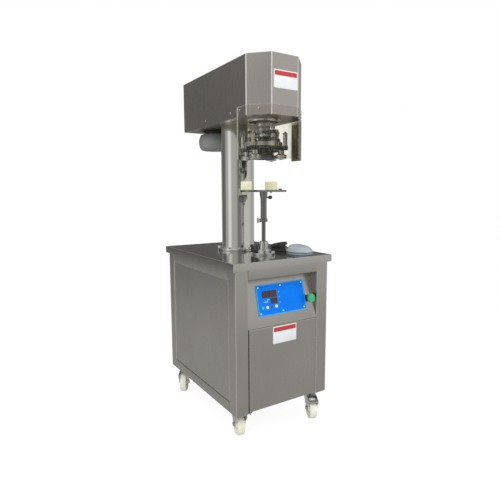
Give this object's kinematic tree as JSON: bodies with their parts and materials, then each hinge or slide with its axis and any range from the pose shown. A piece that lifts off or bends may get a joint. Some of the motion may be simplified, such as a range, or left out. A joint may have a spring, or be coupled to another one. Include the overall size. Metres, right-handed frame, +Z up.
{
  "type": "can seamer",
  "caption": "Floor-standing can seamer: seaming head with swing levers and rollers under a steel hood, cam lift and can plate on a wheeled cabinet with control panel and foot pedal.",
  "frame": {"origin": "on the floor, at the centre of the footprint of the whole machine", "axes": "+X to the operator's right, +Y to the back, +Z up; the door and the control panel face -Y"},
  "size_m": [0.516, 0.7687, 1.613],
  "materials": {
    "stainless": "brushed",
    "tabletop": "polished",
    "rear_panel": "brushed",
    "control_panel": "satin",
    "start_button": "gloss",
    "machined_steel": "machined",
    "hard_steel": "ground",
    "bolts": "bright",
    "guard": "clear",
    "motor": "satin",
    "cowl": "satin",
    "belts": "matte",
    "nylon": "satin",
    "knob": "satin",
    "wing": "cast",
    "caster_steel": "zinc plated",
    "caster_wheel": "satin",
    "electrics": "satin",
    "pedal": "satin",
    "pedal_base": "satin",
    "cord": "satin"
  },
  "bodies": {
    "cabinet": {"cabinet_frame": "stainless", "floor_pan": "stainless", "tabletop": "tabletop", "side_panels": "stainless", "rear_panel": "rear_panel", "control_fascia": "stainless", "control_panel": "control_panel", "door_fittings": "stainless", "caster_mounts": "caster_steel", "column": "stainless", "flange_bolts": "bolts", "head_plate": "stainless", "hood_shell": "stainless", "guard_shield": "guard", "spindle_housing": "machined_steel", "chuck_shaft": "machined_steel", "seaming_chuck": "hard_steel", "motor_body": "motor", "motor_fan_cowl": "cowl", "drive_belts": "belts", "lift_base": "machined_steel", "lift_gearmotor": "motor", "electrical_plate": "electrics", "pedal_base": "pedal_base", "cord_gland": "cord", "cord_lead": "cord", "cord_coil": "cord", "cord_tail": "cord"},
    "front_door": {"front_door": "stainless"},
    "start_button": {"start_button": "start_button"},
    "turret": {"turret_disc": "machined_steel", "turret_spindle": "machined_steel"},
    "seaming_cam": {"seaming_cam": "hard_steel"},
    "motor_pulley": {"motor_pulley": "motor"},
    "lift_cam": {"lift_cam": "hard_steel"},
    "lift_rod": {"lift_rod": "machined_steel"},
    "can_support": {"support_tube": "machined_steel", "can_plate": "machined_steel", "locating_blocks": "nylon"},
    "plate_clamp_knob": {"plate_clamp_knob": "knob"},
    "height_clamp_screw": {"height_clamp_screw": "wing"},
    "pedal_treadle": {"pedal_treadle": "pedal"},
    "seaming_lever_1": {"seaming_lever_1": "machined_steel"},
    "seaming_roller_1": {"seaming_roller_1": "hard_steel"},
    "seaming_lever_2": {"seaming_lever_2": "machined_steel"},
    "seaming_roller_2": {"seaming_roller_2": "hard_steel"},
    "seaming_lever_3": {"seaming_lever_3": "machined_steel"},
    "seaming_roller_3": {"seaming_roller_3": "hard_steel"},
    "seaming_lever_4": {"seaming_lever_4": "machined_steel"},
    "seaming_roller_4": {"seaming_roller_4": "hard_steel"},
    "fork_front_left": {"caster_fork_front_left": "caster_steel"},
    "wheel_front_left": {"caster_wheel_front_left": "caster_wheel"},
    "brake_front_left": {"caster_brake_front_left": "caster_steel"},
    "fork_front_right": {"caster_fork_front_right": "caster_steel"},
    "wheel_front_right": {"caster_wheel_front_right": "caster_wheel"},
    "brake_front_right": {"caster_brake_front_right": "caster_steel"},
    "fork_rear_left": {"caster_fork_rear_left": "caster_steel"},
    "wheel_rear_left": {"caster_wheel_rear_left": "caster_wheel"},
    "fork_rear_right": {"caster_fork_rear_right": "caster_steel"},
    "wheel_rear_right": {"caster_wheel_rear_right": "caster_wheel"}
  },
  "joints": [
    {"name": "door_hinge", "type": "hinge", "parent": "cabinet", "child": "front_door", "pos_m": [-0.173, -0.341, 0.31], "axis": [0, 0, -1], "range_deg": [0, 100]},
    {"name": "start_press", "type": "slide", "parent": "cabinet", "child": "start_button", "axis": [0, 0.9691, -0.2468], "range_m": [0, 0.005], "stiffness_N_per_m": 500, "springref_m": -0.002},
    {"name": "turret_spin", "type": "hinge", "parent": "cabinet", "child": "turret", "pos_m": [0, -0.187, 1.27], "axis": [0, 0, 1], "continuous": true},
    {"name": "cam_feed", "type": "hinge", "parent": "turret", "child": "seaming_cam", "pos_m": [0, -0.187, 1.3], "axis": [0, 0, 1], "range_deg": [-20, 20]},
    {"name": "motor_spin", "type": "hinge", "parent": "cabinet", "child": "motor_pulley", "pos_m": [0, 0.255, 1.5], "axis": [0, 0, 1], "continuous": true},
    {"name": "lift_cam_turn", "type": "hinge", "parent": "cabinet", "child": "lift_cam", "pos_m": [0, -0.187, 0.515], "axis": [1, 0, 0], "range_deg": [0, 180]},
    {"name": "lift_slide", "type": "slide", "parent": "cabinet", "child": "lift_rod", "axis": [0, 0, 1], "range_m": [0, 0.05]},
    {"name": "height_adjust", "type": "slide", "parent": "lift_rod", "child": "can_support", "axis": [0, 0, 1], "range_m": [-0.06, 0.02]},
    {"name": "plate_clamp_turn", "type": "hinge", "parent": "can_support", "child": "plate_clamp_knob", "pos_m": [0.03, -0.187, 1.038], "axis": [1, 0, 0], "range_deg": [0, 360]},
    {"name": "height_clamp_turn", "type": "hinge", "parent": "can_support", "child": "height_clamp_screw", "pos_m": [-0.03, -0.187, 0.9355], "axis": [-1, 0, 0], "range_deg": [0, 360]},
    {"name": "lever_1_swing", "type": "hinge", "parent": "turret", "child": "seaming_lever_1", "pos_m": [0.072, -0.187, 1.28], "axis": [0, 0, 1], "range_deg": [-6, 6]},
    {"name": "roller_1_spin", "type": "hinge", "parent": "seaming_lever_1", "child": "seaming_roller_1", "pos_m": [0.072, -0.144, 1.22], "axis": [0, 0, 1], "continuous": true},
    {"name": "lever_2_swing", "type": "hinge", "parent": "turret", "child": "seaming_lever_2", "pos_m": [0, -0.115, 1.28], "axis": [0, 0, 1], "range_deg": [-6, 6]},
    {"name": "roller_2_spin", "type": "hinge", "parent": "seaming_lever_2", "child": "seaming_roller_2", "pos_m": [-0.043, -0.115, 1.22], "axis": [0, 0, 1], "continuous": true},
    {"name": "lever_3_swing", "type": "hinge", "parent": "turret", "child": "seaming_lever_3", "pos_m": [-0.072, -0.187, 1.28], "axis": [0, 0, 1], "range_deg": [-6, 6]},
    {"name": "roller_3_spin", "type": "hinge", "parent": "seaming_lever_3", "child": "seaming_roller_3", "pos_m": [-0.072, -0.23, 1.22], "axis": [0, 0, 1], "continuous": true},
    {"name": "lever_4_swing", "type": "hinge", "parent": "turret", "child": "seaming_lever_4", "pos_m": [0, -0.259, 1.28], "axis": [0, 0, 1], "range_deg": [-6, 6]},
    {"name": "roller_4_spin", "type": "hinge", "parent": "seaming_lever_4", "child": "seaming_roller_4", "pos_m": [0.043, -0.259, 1.22], "axis": [0, 0, 1], "continuous": true},
    {"name": "swivel_front_left", "type": "hinge", "parent": "cabinet", "child": "fork_front_left", "pos_m": [-0.192, -0.295, 0.11], "axis": [0, 0, 1], "continuous": true},
    {"name": "roll_front_left", "type": "hinge", "parent": "fork_front_left", "child": "wheel_front_left", "pos_m": [-0.18346, -0.26312, 0.05], "axis": [-0.9659, 0.2588, 0], "continuous": true},
    {"name": "brake_front_left", "type": "hinge", "parent": "fork_front_left", "child": "brake_front_left", "pos_m": [-0.17414, -0.22835, 0.097], "axis": [-0.9659, 0.2588, 0], "range_deg": [0, 14]},
    {"name": "swivel_front_right", "type": "hinge", "parent": "cabinet", "child": "fork_front_right", "pos_m": [0.192, -0.295, 0.11], "axis": [0, 0, 1], "continuous": true},
    {"name": "roll_front_right", "type": "hinge", "parent": "fork_front_right", "child": "wheel_front_right", "pos_m": [0.17805, -0.32491, 0.05], "axis": [0.9063, -0.4226, 0], "continuous": true},
    {"name": "brake_front_right", "type": "hinge", "parent": "fork_front_right", "child": "brake_front_right", "pos_m": [0.16284, -0.35753, 0.097], "axis": [0.9063, -0.4226, 0], "range_deg": [0, 14]},
    {"name": "swivel_rear_left", "type": "hinge", "parent": "cabinet", "child": "fork_rear_left", "pos_m": [-0.192, 0.295, 0.11], "axis": [0, 0, 1], "continuous": true},
    {"name": "roll_rear_left", "type": "hinge", "parent": "fork_rear_left", "child": "wheel_rear_left", "pos_m": [-0.21045, 0.26764, 0.05], "axis": [0.829, -0.5592, 0], "continuous": true},
    {"name": "swivel_rear_right", "type": "hinge", "parent": "cabinet", "child": "fork_rear_right", "pos_m": [0.192, 0.295, 0.11], "axis": [0, 0, 1], "continuous": true},
    {"name": "roll_rear_right", "type": "hinge", "parent": "fork_rear_right", "child": "wheel_rear_right", "pos_m": [0.21045, 0.26764, 0.05], "axis": [0.829, 0.5592, 0], "continuous": true},
    {"name": "treadle_press", "type": "hinge", "parent": "cabinet", "child": "pedal_treadle", "pos_m": [0.13468, -0.23623, 0.799], "axis": [0.9659, 0.2588, 0], "range_deg": [0, 4.5], "stiffness_Nm_per_rad": 8, "springref_deg": -1.72}
  ],
  "couplings": [
    {"joint": "lever_1_swing", "follows": "cam_feed", "ratio": 0.3},
    {"joint": "lever_2_swing", "follows": "cam_feed", "ratio": -0.3},
    {"joint": "lever_3_swing", "follows": "cam_feed", "ratio": 0.3},
    {"joint": "lever_4_swing", "follows": "cam_feed", "ratio": -0.3},
    {"joint": "motor_spin", "follows": "turret_spin", "ratio": 2},
    {"joint": "lift_slide", "follows": "lift_cam_turn", "m_per_rad": 0.015915}
  ]
}
